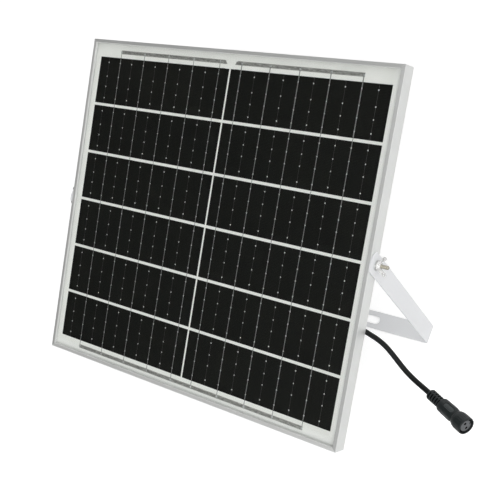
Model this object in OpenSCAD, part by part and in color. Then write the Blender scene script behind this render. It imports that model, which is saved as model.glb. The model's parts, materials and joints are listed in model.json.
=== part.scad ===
// Framed solar panel of a solar flood light, on a U bracket with wing-nut
// pivots, with its supply lead and waterproof two-pole connector.
// The bracket stands on z = 0 with its arms pointing up, X runs along the
// pivot axis, the panel faces -Y and up. Millimetres.
// Parts that ride on the panel are built in the panel's own frame: X across,
// Y up the panel, Z out of its face, with z = 0 on the frame's rear plane.

/* [Panel frame] */
// Overall width of the framed panel
panel_w = 388; // [384:1:396]
// Overall height of the framed panel
panel_h = 360; // [352:1:368]
// Width of the front lip that covers the glass edge
lip_w = 4.2; // [3.5:0.1:5]
// Width of the rear flange that stiffens the frame
flange_w = 12; // [10:0.5:14]

/* [Cells] */
// Width of one cell, a full wafer
cell_w = 182; // [180:0.5:182]
// Height of one cell, a wafer cut into strips
cell_h = 51.6; // [50:0.1:52]
// White gap between rows of cells
row_gap = 3; // [2:0.1:3.4]
// White gap between the two columns of cells
col_gap = 2.05; // [1.5:0.05:2.5]
// Distance of the cell field's centre below the frame's centre
cell_drop = 1.1; // [0:0.1:1.5]

/* [Bracket] */
// Distance from the pivot axis to the mounting face
pivot_h = 178.5; // [160:0.5:179]
// Width of the bent strip
strip_w = 20; // [18:0.5:22]
// Thickness of the bent strip
strip_t = 1.5; // [1.5:0.1:1.6]
// Distance of the pivot below the panel's middle
pivot_drop = 1.2; // [0:0.1:3]
// Lean of the panel at rest, from lying level
rest_tilt = 26.2; // [20:0.1:30]
// End-to-end length of each mounting slot
slot_l = 40; // [20:1:60]
// Width of each mounting slot
slot_w = 9; // [6:0.5:10]
// Distance of each slot's centre from the middle of the bracket
slot_x = 116; // [60:1:130]

/* [Pivot hardware] */
// Span of each wing nut over its wings
wing_span = 20; // [18:0.5:22]

/* [Hidden] */
$fn = 48;

over = 1;              // how far a cutter runs past the surface it cuts

// colours shared by several nodes
frame_grey = [0.72, 0.73, 0.72];
box_black = [0.1, 0.1, 0.1];
jacket_black = [0.07, 0.07, 0.07];
plug_black = [0.08, 0.08, 0.08];
core_pair_red = [0.5, 0.1, 0.08];
nut_steel = [0.8, 0.8, 0.79];

// frame section
frame_d = 17;          // depth
wall = 1.2;            // outer wall and rear flange
lip_t = 1.4;
ledge_t = 1;           // ledge behind the laminate
ledge_w = 7;
pivot_z = 6.3;         // pivot above the frame's rear plane

// laminate layers, and their levels from the front down
sealant_t = 1;         // between lip and glass
glass_t = 2;
film_t = 0.4;          // each encapsulant film
ribbon_t = 0.12;
cell_t = 0.18;
backsheet_t = 0.3;
glass_top_z = frame_d - lip_t - sealant_t;
glass_z = glass_top_z - glass_t;
front_film_z = glass_z - film_t;
cell_top_z = front_film_z - ribbon_t;
cell_z = cell_top_z - cell_t;
rear_film_top_z = cell_z - ribbon_t;
rear_film_z = rear_film_top_z - film_t;
backsheet_z = rear_film_z - backsheet_t;
laminate_inset = wall + 0.9;  // laminate edge, from the frame's outer face

// cell field
rows = 6;
row_pitch = cell_h + row_gap;
cell_edge = cell_h / 2;       // from a cell's centre to its upper or lower edge
ribbons_per_cell = 5;
ribbon_x = 13.9;              // first ribbon, from the panel's middle
ribbon_pitch = 34.65;
ribbon_w = 0.7;
top_ribbon_w = 1;             // plain ribbons of the right column's first row
ribbon_inset = 0.6;           // ribbon end on a cell's face, from the cell edge
ribbon_tuck = 24;             // length of ribbon behind a cell
bus_w = 4;
bus_gap = 4.6;                // from the end cells to the bus
bus_far = cell_edge + bus_gap + bus_w;
bus_left = 153;
bus_right = 153.4;
tab_x = 8.5;                  // output tabs, either side of the middle

// bracket
spacer_t = 0.35;                             // shim between side rail and arm
arm_base_x = panel_w / 2 + 1.75;             // arm's inner face at the mounting face
arm_pivot_x = panel_w / 2 + spacer_t + 0.05; // and at the pivots, where it is drawn in
arm_lean = atan((arm_base_x - arm_pivot_x) / pivot_h);
arm_outer_x = arm_pivot_x + strip_t;
arm_bend_r = 1.2;

// pivot hardware, size M4
bolt_r = 1.95;
bolt_l = [12, 15.5];          // left and right bolt, under the head
washer_t = 0.8;
washer_x = arm_outer_x + 0.09;
nut_x = washer_x + washer_t + 0.05;

// junction box, glued behind the panel
box_w = 60;
box_h = 50;
box_d = 8.4;
box_y = 138;
adhesive_t = 0.3;
box_front_z = backsheet_z - adhesive_t;
box_rear_z = box_front_z - box_d;
lid_t = 2;
outlet_y = box_y - box_h / 2; // outer face of the box's lower wall

// lead
lead_r = 2.35;
bore_r = 1.55;
core_r = 0.72;
core_offset = 0.76;           // each core's distance from the lead's axis
lead_x = 19;                  // where the lead leaves the box
lead_z = 6.6;
lead_y = outlet_y + 6;        // start of the lead, inside the box
socket_gap = 1;               // from a joint's centre to the jacket around its ball
socket_r = lead_r + 0.08;
solid_end = 3.2;              // unbored length of jacket behind each ball
core_start = 2.6;             // cores begin this far past a joint
core_stop = 3.4;              // and end this far short of the next
// ball joints along the lead, in the panel's frame; the last is at the plug
joints = [[201.3, -67.7, -2.7], [236, -91.1, -7.2], [262.8, -103.1, -4.6]];

// lead's path from the box to the first joint
lead_bend_r = 45;
heading = 16;                 // final direction, turned from +X towards -Y
dip_r = 25;
dip_angle = 22;
slant_l = (joints[0][0] - (lead_x + lead_bend_r * (1 - sin(heading)))) / cos(heading);
bend_y = joints[0][1] + slant_l * sin(heading) + lead_bend_r * cos(heading);
dip_l = (lead_z - joints[0][2] - 2 * dip_r * (1 - cos(dip_angle))) / sin(dip_angle);
after_dip = 26;
before_dip = slant_l - after_dip - 2 * dip_r * sin(dip_angle) - dip_l * cos(dip_angle);

// connector
plug_yaw = -16.75;
plug_rise = 22.1;
plug_roll = -43;
contact_offset = 2.6;         // each contact's distance from the connector's axis
insert_r = 5.35;              // grey insert that the mating half slips over
lead_cut_l = 30;              // bores that run out past the cable end and boot
plug_cut_l = 60;              // bores that run out past the whole connector

// ---- placement and shared shapes
module panel_pose()
    translate([0, 0, pivot_h]) rotate([rest_tilt, 0, 0])
        translate([0, pivot_drop, -pivot_z]) children();

// turns the child's +Z to +X
module along_x() rotate([0, 90, 0]) children();

// moves the child to start, with its +X towards end
module aim(start, end) {
    way = end - start;
    translate(start) rotate([0, 0, atan2(way[1], way[0])])
        rotate([0, -asin(way[2] / norm(way)), 0]) children();
}

// rounded rectangle, centred, made of true arcs
module rounded_rect(width, height, radius) {
    square([width - 2 * radius, height], center = true);
    square([width, height - 2 * radius], center = true);
    for (x = [-1, 1], y = [-1, 1])
        translate([x * (width / 2 - radius), y * (height / 2 - radius)]) circle(radius);
}

// panel-shaped plate between two levels, inset from the frame's outer faces
module slab(inset, bottom, top, radius = 1)
    translate([0, 0, bottom]) linear_extrude(top - bottom)
        rounded_rect(panel_w - 2 * inset, panel_h - 2 * inset, radius);

module washer(outer_r, inner_r, thickness) difference() {
    cylinder(r = outer_r, h = thickness);
    translate([0, 0, -over]) cylinder(r = inner_r, h = thickness + 2 * over);
}

module turned(profile) rotate_extrude() polygon(profile);

// ---- bracket
reach = 250;           // half length of blocks and rods that span both arms

// filled U shape, half_w wide at height 0; the sides lean in
module u_outline(half_w, bottom, top, radius) {
    corner_x = half_w - (bottom + radius) * tan(arm_lean) - radius / cos(arm_lean);
    tangent_x = corner_x + radius * cos(arm_lean);
    tangent_y = bottom + radius + radius * sin(arm_lean);
    for (side = [0, 1]) mirror([side, 0, 0]) {
        polygon([[-1, bottom], [corner_x, bottom], [tangent_x, tangent_y],
                 [half_w - top * tan(arm_lean), top], [-1, top]]);
        translate([corner_x, bottom + radius]) circle(radius);
    }
}

module cross_rod(radius, height)
    translate([-reach, 0, height]) along_x() cylinder(r = radius, h = 2 * reach);

module bent_strip() {
    top = pivot_h + strip_w;
    translate([0, strip_w / 2, 0]) rotate([90, 0, 0]) linear_extrude(strip_w) difference() {
        u_outline(arm_base_x + strip_t / cos(arm_lean), 0, top, arm_bend_r + strip_t);
        u_outline(arm_base_x, strip_t, top + over, arm_bend_r);
    }
}

// space the strip may fill: arm ends are cut to an arc
module arm_end_trim() {
    tip_r = 14.5;
    tip_drop = 2.6;    // arc's centre below the pivot
    union() {
        translate([-reach, -strip_w / 2, -over]) cube([2 * reach, strip_w, pivot_h]);
        intersection() {
            translate([-reach, -strip_w / 2, pivot_h - 8]) cube([2 * reach, strip_w, 40]);
            cross_rod(tip_r, pivot_h - tip_drop);
        }
    }
}

module mounting_slot() {
    end_x = (slot_l - slot_w) / 2;
    cut_h = strip_t + 2 * over;
    translate([-end_x, -slot_w / 2, 0]) cube([slot_l - slot_w, slot_w, cut_h]);
    for (side = [-1, 1]) translate([side * end_x, 0, 0]) cylinder(r = slot_w / 2, h = cut_h);
}

module u_bracket() color([0.9, 0.9, 0.91]) difference() {
    intersection() {
        bent_strip();
        arm_end_trim();
    }
    cross_rod(bolt_r + 0.07, pivot_h);
    for (side = [-1, 1]) translate([side * slot_x, 0, -over]) mounting_slot();
}

// ---- frame rails: one extruded section, mitred at both ends
// x runs inwards from the outer face, y forwards from the rear plane
module section() {
    fillet = 0.8;
    square([wall, frame_d]);
    translate([0, frame_d - lip_t]) square([lip_w, lip_t]);
    translate([0, backsheet_z - ledge_t]) square([ledge_w, ledge_t]);
    square([flange_w, wall]);
    // triangular fillet between wall and flange
    translate([0, wall]) polygon([[wall, 0], [wall + fillet, 0], [wall, fillet]]);
}

// rail along X, outer face on y = 0
module rail(length) intersection() {
    mitre = 20;        // deeper than the section is wide
    rotate([90, 0, 90]) linear_extrude(length, center = true) section();
    translate([0, 0, -over]) linear_extrude(frame_d + 2 * over)
        polygon([[-length / 2, 0], [length / 2, 0],
                 [length / 2 - mitre, mitre], [-length / 2 + mitre, mitre]]);
}

module side_rail(hole_x) difference() {
    rail(panel_h);
    translate([hole_x, -over, pivot_z]) rotate([-90, 0, 0])
        cylinder(r = 2.1, h = wall + 2 * over);
}

module frame_rail_top() color(frame_grey) panel_pose()
    translate([0, panel_h / 2, 0]) rotate([0, 0, 180]) rail(panel_w);
module frame_rail_bottom() color(frame_grey) panel_pose()
    translate([0, -panel_h / 2, 0]) rail(panel_w);
module frame_rail_left() color(frame_grey) panel_pose()
    translate([-panel_w / 2, 0, 0]) rotate([0, 0, -90]) side_rail(pivot_drop);
module frame_rail_right() color(frame_grey) panel_pose()
    translate([panel_w / 2, 0, 0]) rotate([0, 0, 90]) side_rail(-pivot_drop);

// angle key pressed into a corner of the rear channel
module corner_key() {
    outer = wall + 0.9;
    inner = outer + 2;
    arm_l = 28;
    clearance = 0.05;
    translate([0, 0, wall + clearance])
        linear_extrude(backsheet_z - ledge_t - wall - 2 * clearance)
            polygon([[-outer, -outer], [-arm_l, -outer], [-arm_l, -inner],
                     [-inner, -inner], [-inner, -arm_l], [-outer, -arm_l]]);
}
module corner_keys() color([0.6, 0.61, 0.62]) panel_pose()
    for (x = [0, 1], y = [0, 1]) mirror([x, 0, 0]) mirror([0, y, 0])
        translate([panel_w / 2, panel_h / 2, 0]) corner_key();

// ---- laminate
module edge_sealant() color([0.85, 0.86, 0.85]) panel_pose() difference() {
    slab(wall + 0.05, backsheet_z + 0.05, glass_top_z + sealant_t, 0.5);
    slab(laminate_inset, backsheet_z - over, glass_top_z);
    slab(lip_w - 0.1, backsheet_z - over, frame_d + over);
}
module glass_cover() color([0.8, 0.88, 0.86, 0.35]) panel_pose()
    slab(laminate_inset, glass_z, glass_top_z);
module front_encapsulant() color([0.95, 0.97, 0.95, 0.35]) panel_pose()
    slab(laminate_inset, front_film_z, glass_z);
module rear_encapsulant() color([0.93, 0.94, 0.92]) panel_pose() difference() {
    slab(laminate_inset, rear_film_z, rear_film_top_z);
    tab_slits();
}
module backsheet() color([0.93, 0.94, 0.93]) panel_pose() difference() {
    slab(laminate_inset, backsheet_z, rear_film_z);
    tab_slits();
}
module tab_slits() {
    slit = [6, 2, 3];
    for (side = [-1, 1])
        translate([side * tab_x - slit[0] / 2, box_y - slit[1] / 2, backsheet_z - over])
            cube(slit);
}

// rows are counted from the top
function row_y(row) = -cell_drop + ((rows - 1) / 2 - row) * row_pitch;
module at_row(row) translate([0, row_y(row), 0]) children();

module solar_cells() color([0.09, 0.1, 0.1]) panel_pose()
    for (side = [-1, 1], row = [0 : rows - 1]) at_row(row)
        translate([side * (cell_w + col_gap) / 2, 0, cell_z + cell_t / 2])
            cube([cell_w, cell_h, cell_t], center = true);

// lies on one cell's face, dips through the gap and runs under the next cell,
// upwards for direction 1 and downwards for -1
module step_ribbon(direction) {
    start = -cell_edge + ribbon_inset;
    next_edge = cell_edge + row_gap;
    end = next_edge + ribbon_tuck;
    // distance along the ribbon, level
    side_view = [
        [start, cell_top_z], [cell_edge + 0.5, cell_top_z],
        [next_edge - 0.6, rear_film_top_z], [end, rear_film_top_z],
        [end, cell_z], [next_edge - 0.45, cell_z],
        [cell_edge + 0.65, front_film_z], [start, front_film_z]];
    rotate([90, 0, 90]) linear_extrude(ribbon_w, center = true)
        polygon([for (point = side_view) [direction * point[0], point[1]]]);
}

// flat ribbon between two heights on the panel
module flat_ribbon(from_y, to_y, z, width = ribbon_w)
    translate([-width / 2, min(from_y, to_y), z]) cube([width, abs(to_y - from_y), ribbon_t]);

module cell_ribbons() color([0.75, 0.76, 0.76]) panel_pose() {
    bus_end = bus_far - 0.5;
    face_end = cell_edge - ribbon_inset;
    rear_end = cell_edge - ribbon_tuck;
    for (i = [0 : ribbons_per_cell - 1]) {
        x = ribbon_x + i * ribbon_pitch;
        // left column runs downwards
        translate([-x, 0, 0]) {
            for (row = [0 : rows - 2]) at_row(row) step_ribbon(-1);
            at_row(0) flat_ribbon(rear_end, bus_end, rear_film_top_z);
            at_row(rows - 1) flat_ribbon(face_end, -bus_end, cell_top_z);
        }
        // right column runs upwards
        translate([x, 0, 0]) {
            for (row = [1 : rows - 1]) at_row(row) step_ribbon(1);
            at_row(0) flat_ribbon(-face_end, bus_end, cell_top_z, top_ribbon_w);
            at_row(rows - 1) flat_ribbon(-rear_end, -bus_end, rear_film_top_z);
        }
    }
}

// one half of the top bus, its inner end cut at a slant
module top_bus(side, outer, inner) {
    slant = 3.2;
    polygon([[side * outer, 0], [side * inner, 0],
             [side * (inner + slant), bus_w], [side * outer, bus_w]]);
}
module bus_ribbons() color([0.7, 0.71, 0.71]) panel_pose()
    translate([0, 0, cell_z]) linear_extrude(cell_t) {
        at_row(0) translate([0, cell_edge + bus_gap]) {
            top_bus(-1, bus_left, 4.4);
            top_bus(1, bus_right, 5.1);
        }
        at_row(rows - 1) translate([-bus_left, -bus_far])
            square([bus_left + bus_right, bus_w]);
    }

// strips that carry the two bus ends down behind the cells and through the backsheet
module output_tabs() color([0.7, 0.7, 0.68]) panel_pose() {
    tab_w = 4;
    tab_drop = 3.6;
    top_y = row_y(0) + bus_far - 0.6;
    for (side = [-1, 1])
        translate([side * tab_x - tab_w / 2, box_y - ribbon_t / 2, rear_film_top_z]) {
            cube([tab_w, top_y - box_y, ribbon_t]);
            translate([0, 0, -tab_drop]) cube([tab_w, ribbon_t, tab_drop]);
        }
}

// ---- junction box
module box_outline() rounded_rect(box_w, box_h, 4);
module at_box(z) panel_pose() translate([0, box_y, z]) children();
module at_box_corners() for (x = [-1, 1], y = [-1, 1])
    translate([x * (box_w / 2 - 5), y * (box_h / 2 - 5), 0]) children();

module junction_box_adhesive() color([0.82, 0.82, 0.8])
    at_box(box_front_z) linear_extrude(adhesive_t) difference() {
        box_outline();
        rounded_rect(box_w - 12, box_h - 12, 3);
    }

module junction_box_base() color(box_black) at_box(box_rear_z) {
    box_wall = 2;
    front_wall = 1.8;
    window = [28, 10];
    difference() {
        linear_extrude(box_d) box_outline();
        // cavity open to the rear, with a screw post left in each corner
        difference() {
            translate([0, 0, -over]) linear_extrude(box_d - front_wall + over)
                rounded_rect(box_w - 2 * box_wall, box_h - 2 * box_wall, 2.5);
            translate([0, 0, -2]) at_box_corners() cylinder(r = 3.2, h = box_d + 2);
        }
        // window for the output tabs
        translate([-window[0] / 2, -window[1] / 2, 0])
            cube([window[0], window[1], box_d + over]);
        // screw holes
        translate([0, 0, -over]) at_box_corners() cylinder(r = 1.25, h = 7);
        // cable outlet in the lower wall
        translate([lead_x, -box_h / 2 - over, lead_z - box_rear_z]) rotate([-90, 0, 0])
            cylinder(r = 3.05, h = 4);
    }
}

module junction_box_lid() color(box_black) at_box(box_rear_z - lid_t) difference() {
    linear_extrude(lid_t) box_outline();
    translate([0, 0, -over]) at_box_corners() cylinder(r = 1.4, h = lid_t + 2 * over);
    // shallow rectangular groove in the rear face
    translate([0, 0, -over]) linear_extrude(over + 0.3) difference() {
        rounded_rect(40, 30, 3);
        rounded_rect(37, 27, 2.4);
    }
}

module cross_head_screw() {
    head_h = 1;
    slot = [3, 0.6, 1.6];
    difference() {
        union() {
            translate([0, 0, -head_h]) cylinder(r = 2.3, h = head_h);
            cylinder(r = 1.2, h = 7.4);
        }
        for (angle = [0, 90]) rotate([0, 0, angle])
            translate([-slot[0] / 2, -slot[1] / 2, -head_h - over]) cube(slot);
    }
}
module junction_box_screws() color([0.7, 0.7, 0.7])
    at_box(box_rear_z - lid_t) at_box_corners() cross_head_screw();

// square plate with a hole and an upturned tag near its outer edge
module terminal_plate(side) {
    plate_w = 14;
    plate_t = 0.8;
    difference() {
        union() {
            translate([-plate_w / 2, -plate_w / 2, 0]) cube([plate_w, plate_w, plate_t]);
            translate([side * 6.2 - plate_t / 2, -9, 0]) cube([plate_t, 4, 1.5]);
        }
        translate([side * 3, 4, -over]) cylinder(r = 1.6, h = 4);
    }
}
module terminal_plates() color([0.8, 0.66, 0.36]) at_box(box_front_z - 3.4)
    for (side = [-1, 1]) translate([side * 12, 0, 0]) terminal_plate(side);

module blocking_diode() color([0.12, 0.12, 0.13])
    at_box(box_front_z - 5.2) translate([0, -12, 0])
        for (size = [[1.4, 6], [0.4, 34]])  // radius and length of body, then wire
            translate([-size[1] / 2, 0, 0]) along_x() cylinder(r = size[0], h = size[1]);

module cable_gland() color(box_black) panel_pose()
    translate([lead_x, outlet_y + 2.6, lead_z]) rotate([90, 0, 0]) difference() {
        union() {
            cylinder(r = 3, h = 4);
            translate([0, 0, 2.65]) cylinder(r = 4, h = 5.5);
            translate([0, 0, 8.1]) cylinder(r = 3.3, h = 1.6);
        }
        translate([0, 0, -over]) cylinder(r = lead_r + 0.05, h = 14);
    }

// ---- lead: a path of straight runs, left turns and rolls, swept with one section
RUN = 0;               // [RUN, length]
TURN = 1;              // [TURN, angle to the left, radius]
ROLL = 2;              // [ROLL, angle about the path]

module joint_bead(x, roll, bead, offset_x)
    translate([x, 0, 0]) rotate([90, 0, 90]) rotate(-roll)
        translate([offset_x, 0, 0]) sphere(bead);

// sweeps the 2D child; a small bead of radius bead, at offset_x from the path,
// joins each run to its turns
module sweep_path(moves, i = 0, roll = 0, bead = 0, offset_x = 0) if (i < len(moves)) {
    kind = moves[i][0];
    amount = moves[i][1];
    if (kind == RUN) {
        trim = bead > 0 ? 0.01 : 0;
        translate([trim, 0, 0]) rotate([90, 0, 90]) linear_extrude(amount - 2 * trim)
            rotate(-roll) children();
        if (bead > 0 && i > 0) joint_bead(0, roll, bead, offset_x);
        if (bead > 0 && i < len(moves) - 1) joint_bead(amount, roll, bead, offset_x);
        translate([amount, 0, 0]) sweep_path(moves, i + 1, roll, bead, offset_x) children();
    } else if (kind == TURN) {
        radius = moves[i][2];
        translate([0, radius, 0]) rotate([0, 0, -90]) rotate_extrude(angle = amount)
            translate([radius, 0]) mirror([1, 0]) rotate(-roll) children();
        translate([radius * sin(amount), radius * (1 - cos(amount)), 0])
            rotate([0, 0, amount]) sweep_path(moves, i + 1, roll, bead, offset_x) children();
    } else
        rotate([amount, 0, 0])
            sweep_path(moves, i + 1, roll + amount, bead, offset_x) children();
}

// from inside the box to short of the first joint, dipping rearwards on the way
function lead_moves(short) = [
    [RUN, lead_y - bend_y], [TURN, 90 - heading, lead_bend_r], [RUN, before_dip],
    [ROLL, 270], [TURN, dip_angle, dip_r], [ROLL, -270], [RUN, dip_l],
    [ROLL, 90], [TURN, dip_angle, dip_r], [ROLL, -90], [RUN, after_dip - short]];

module at_lead_start()
    panel_pose() translate([lead_x, lead_y, lead_z]) rotate([0, 0, -90]) children();

module lead_jacket() color(jacket_black) {
    at_lead_start() sweep_path(lead_moves(solid_end)) difference() {
        circle(lead_r);
        circle(bore_r);
    }
    panel_pose() translate(joints[0]) rotate([0, 0, -heading]) along_x() {
        translate([0, 0, -solid_end]) cylinder(r = lead_r, h = solid_end);
        sphere(lead_r);
    }
}

module lead_core(offset_x)
    at_lead_start() sweep_path(lead_moves(core_stop), bead = core_r + 0.02, offset_x = offset_x)
        translate([offset_x, 0]) circle(core_r);
module lead_core_red() color([0.7, 0.08, 0.06]) lead_core(core_offset);
module lead_core_black() color([0.08, 0.08, 0.08]) lead_core(-core_offset);

// straight length of jacket, from a socket at start to a ball at end
module jacket_link(start, end) {
    length = norm(end - start);
    panel_pose() aim(start, end) along_x() difference() {
        union() {
            translate([0, 0, socket_gap]) cylinder(r = lead_r, h = length - socket_gap);
            translate([0, 0, length]) sphere(lead_r);
        }
        sphere(socket_r);
        translate([0, 0, -over]) cylinder(r = bore_r, h = length - solid_end + over);
    }
}
module core_link(start, end) {
    length = norm(end - start) - core_start - core_stop;
    panel_pose() aim(start, end) along_x() for (side = [-1, 1])
        translate([side * core_offset, 0, core_start]) cylinder(r = core_r, h = length);
}
module lead_jacket_middle() color(jacket_black) jacket_link(joints[0], joints[1]);
module lead_jacket_end() color(jacket_black) jacket_link(joints[1], joints[2]);
module lead_cores_middle() color(core_pair_red) core_link(joints[0], joints[1]);
module lead_cores_end() color(core_pair_red) core_link(joints[1], joints[2]);

// ---- connector, along +Z of its own frame from the tail
// profiles are [radius, distance from the last joint]
module at_plug()
    panel_pose() translate(joints[2]) rotate([0, 0, plug_yaw]) rotate([0, -plug_rise, 0])
        rotate([0, 90, 0]) children();

module plug_cable_end() color(jacket_black) at_plug() difference() {
    translate([0, 0, socket_gap]) cylinder(r = lead_r, h = 22 - socket_gap);
    sphere(socket_r);
    cylinder(r = bore_r, h = lead_cut_l);
}

// straight cores that splay out to the contacts
module plug_cores() color(core_pair_red) at_plug() rotate([0, 0, plug_roll]) {
    splay_z = 23;
    splay = atan((contact_offset - core_offset) / 6);
    for (side = [-1, 1]) {
        translate([side * core_offset, 0, core_start])
            cylinder(r = core_r, h = splay_z - core_start);
        translate([side * core_offset, 0, splay_z]) rotate([0, side * splay, 0])
            cylinder(r = core_r, h = 6.3);
    }
}

boot_rib_pitch = 3.1;
boot_profile = concat(
    [[0, 2], [3.4, 2], [4.7, 2.7]],
    [for (i = [0 : 4], point = [[5.1, 3.7], [5.1, 5.2], [4.2, 5.4], [4.2, 6.5]])
        point + [0, boot_rib_pitch * i]],
    [[5, 19], [4.1, 19], [4.1, 23], [0, 23]]);
module strain_relief_boot() color(jacket_black) at_plug() difference() {
    turned(boot_profile);
    cylinder(r = lead_r + 0.04, h = lead_cut_l);
}

body_profile = [
    [0, 19.1], [5.5, 19.1], [6.2, 19.6], [6.5, 20.8], [6.8, 34], [6.5, 36], [6, 37.8],
    [5.9, 38.4], [5, 38.4], [5, 41.4], [6.6, 41.4], [6.6, 43.4], [4.95, 43.4],
    [4.95, 45], [0, 45]];
module connector_body() color(plug_black) at_plug() difference() {
    turned(body_profile);
    cylinder(r = 4.2, h = plug_cut_l);
}

module connector_insert() color([0.35, 0.36, 0.37])
    at_plug() rotate([0, 0, plug_roll]) difference() {
        union() {
            translate([0, 0, 31]) cylinder(r = 4.1, h = 20);
            translate([0, 0, 45.1]) cylinder(r = insert_r, h = 6.2);
        }
        // contact bores, narrower past the contacts and wider at the mouth
        for (side = [-1, 1]) translate([side * contact_offset, 0, 0]) {
            cylinder(r = 1, h = 47);
            cylinder(r = 0.95, h = plug_cut_l);
            translate([0, 0, 50]) cylinder(r = 1.3, h = 5);
        }
        // polarising key way
        translate([-0.9, 3.9, 46]) cube([1.8, 2.4, 10]);
    }

module socket_contacts() color([0.82, 0.68, 0.35]) at_plug() rotate([0, 0, plug_roll])
    for (side = [-1, 1]) translate([side * contact_offset, 0, 29.6]) difference() {
        cylinder(r = 0.94, h = 16.4);
        translate([0, 0, 8]) cylinder(r = 0.65, h = 20);
    }

module connector_seal() color([0.75, 0.3, 0.15]) at_plug()
    translate([0, 0, 44.05]) rotate_extrude() translate([5.6, 0]) circle(0.6, $fn = 24);

nut_profile = [
    [0, 38.6], [6.5, 38.6], [7.4, 40.4], [7.95, 42.4], [8.15, 44], [8.15, 51.6],
    [7.75, 52.4], [0, 52.4]];
module coupling_nut() color(plug_black) at_plug() {
    grooves = 12;
    difference() {
        turned(nut_profile);
        cylinder(r = 5.07, h = plug_cut_l);
        translate([0, 0, 41.25]) cylinder(r = insert_r + 1.85, h = 20);
        // grip grooves
        for (i = [0 : grooves - 1]) rotate([0, 0, 360 / grooves * i])
            translate([8.75, 0, 44.8]) cylinder(r = 0.85, h = 5.4);
    }
}

// ---- pivot hardware; side is -1 for left, 1 for right, child's +Z points outwards
module at_pivot(side, out)
    panel_pose() translate([0, -pivot_drop, pivot_z]) mirror([side < 0 ? 1 : 0, 0, 0])
        along_x() translate([0, 0, out]) children();

module hex_bolt(length) {
    head_h = 2.8;
    head_flats = 7;
    tip_l = 0.5;
    translate([0, 0, -head_h]) rotate([0, 0, 30])
        cylinder(r = head_flats / sqrt(3), h = head_h, $fn = 6);
    cylinder(r = bolt_r, h = length - tip_l);
    translate([0, 0, length - tip_l]) cylinder(r = bolt_r - 0.4, h = tip_l);
}
module pivot_bolts() color([0.72, 0.68, 0.58]) for (side = [-1, 1])
    at_pivot(side, panel_w / 2 - wall) hex_bolt(bolt_l[(side + 1) / 2]);

module spacer_washers() color([0.75, 0.75, 0.74]) for (side = [-1, 1])
    at_pivot(side, panel_w / 2) washer(4.5, bolt_r + 0.2, spacer_t);

module clamp_washer(side) at_pivot(side, washer_x) washer(5, bolt_r + 0.07, washer_t);
module clamp_washer_left() color(nut_steel) clamp_washer(-1);
module clamp_washer_right() color(nut_steel) clamp_washer(1);

// one wing, seen from its side: [distance from the bolt's axis, height]
module wing_outline() {
    tip = wing_span / 2;
    polygon([[2.6, 0.6], [4.2, 0.6], [tip - 0.6, 5.6], [tip - 0.1, 7.6], [tip - 3.2, 8.2],
             [2.6, 4.6]]);
    translate([tip - 1.9, 7.35]) circle(1.9);
}
// lean turns the upper wing from the panel's plane towards its front
module wing_nut(side, lean) at_pivot(side, nut_x) difference() {
    union() {
        cylinder(r = 4.4, h = 1.6);
        cylinder(r = 3.7, h = 3.9);
        rotate([0, 0, lean - 90]) for (angle = [0, 180]) rotate([0, 0, angle])
            rotate([90, 0, 0]) linear_extrude(1.6, center = true) wing_outline();
    }
    translate([0, 0, -over]) cylinder(r = bolt_r + 0.05, h = 12);
}
module wing_nut_left() color(nut_steel) wing_nut(-1, 0);
module wing_nut_right() color(nut_steel) wing_nut(1, 18);

u_bracket();
frame_rail_top();
frame_rail_bottom();
frame_rail_left();
frame_rail_right();
corner_keys();
edge_sealant();
glass_cover();
front_encapsulant();
solar_cells();
cell_ribbons();
bus_ribbons();
output_tabs();
rear_encapsulant();
backsheet();
junction_box_adhesive();
junction_box_base();
junction_box_lid();
junction_box_screws();
terminal_plates();
blocking_diode();
cable_gland();
lead_jacket();
lead_core_red();
lead_core_black();
lead_jacket_middle();
lead_cores_middle();
lead_jacket_end();
lead_cores_end();
plug_cable_end();
plug_cores();
strain_relief_boot();
connector_body();
connector_insert();
socket_contacts();
connector_seal();
coupling_nut();
pivot_bolts();
spacer_washers();
clamp_washer_left();
clamp_washer_right();
wing_nut_left();
wing_nut_right();
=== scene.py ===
# A framed solar panel that tilts in a U bracket on two pivot bolts with wing nuts. A junction
# box sits on its rear, and a lead runs from the box to a round connector with a coupling nut.
#
# The detail is modelled in millimetres, in three local frames taken from the joints:
#   panel  x right, y up the face, z out of the face, z = 0 on the frame's rear plane
#   pivot  z outwards along the tilt axis, z = 0 in the panel's middle plane
#   plug   z along the connector, z = 0 at the joint between lead and plug
import json
import math

import bmesh
import bpy
from mathutils import Matrix, Vector


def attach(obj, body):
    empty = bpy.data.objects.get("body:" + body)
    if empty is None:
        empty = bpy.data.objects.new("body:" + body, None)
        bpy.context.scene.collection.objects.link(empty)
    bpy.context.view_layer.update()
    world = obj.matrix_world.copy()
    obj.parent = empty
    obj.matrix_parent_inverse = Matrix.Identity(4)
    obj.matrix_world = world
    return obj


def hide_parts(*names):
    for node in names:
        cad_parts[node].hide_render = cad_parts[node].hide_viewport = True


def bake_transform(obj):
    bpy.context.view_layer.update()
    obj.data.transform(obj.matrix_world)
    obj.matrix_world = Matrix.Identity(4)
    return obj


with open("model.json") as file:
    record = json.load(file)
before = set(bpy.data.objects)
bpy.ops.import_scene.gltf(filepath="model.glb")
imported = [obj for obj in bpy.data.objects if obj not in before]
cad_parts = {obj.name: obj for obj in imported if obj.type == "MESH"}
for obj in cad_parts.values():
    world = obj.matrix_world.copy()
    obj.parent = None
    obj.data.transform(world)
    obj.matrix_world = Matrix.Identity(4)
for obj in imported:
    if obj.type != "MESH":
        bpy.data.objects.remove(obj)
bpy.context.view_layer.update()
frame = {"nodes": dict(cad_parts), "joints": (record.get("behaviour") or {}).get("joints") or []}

NODES = frame["nodes"]
JOINT = {joint["name"]: joint for joint in frame["joints"]}
MM = 0.001

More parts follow.
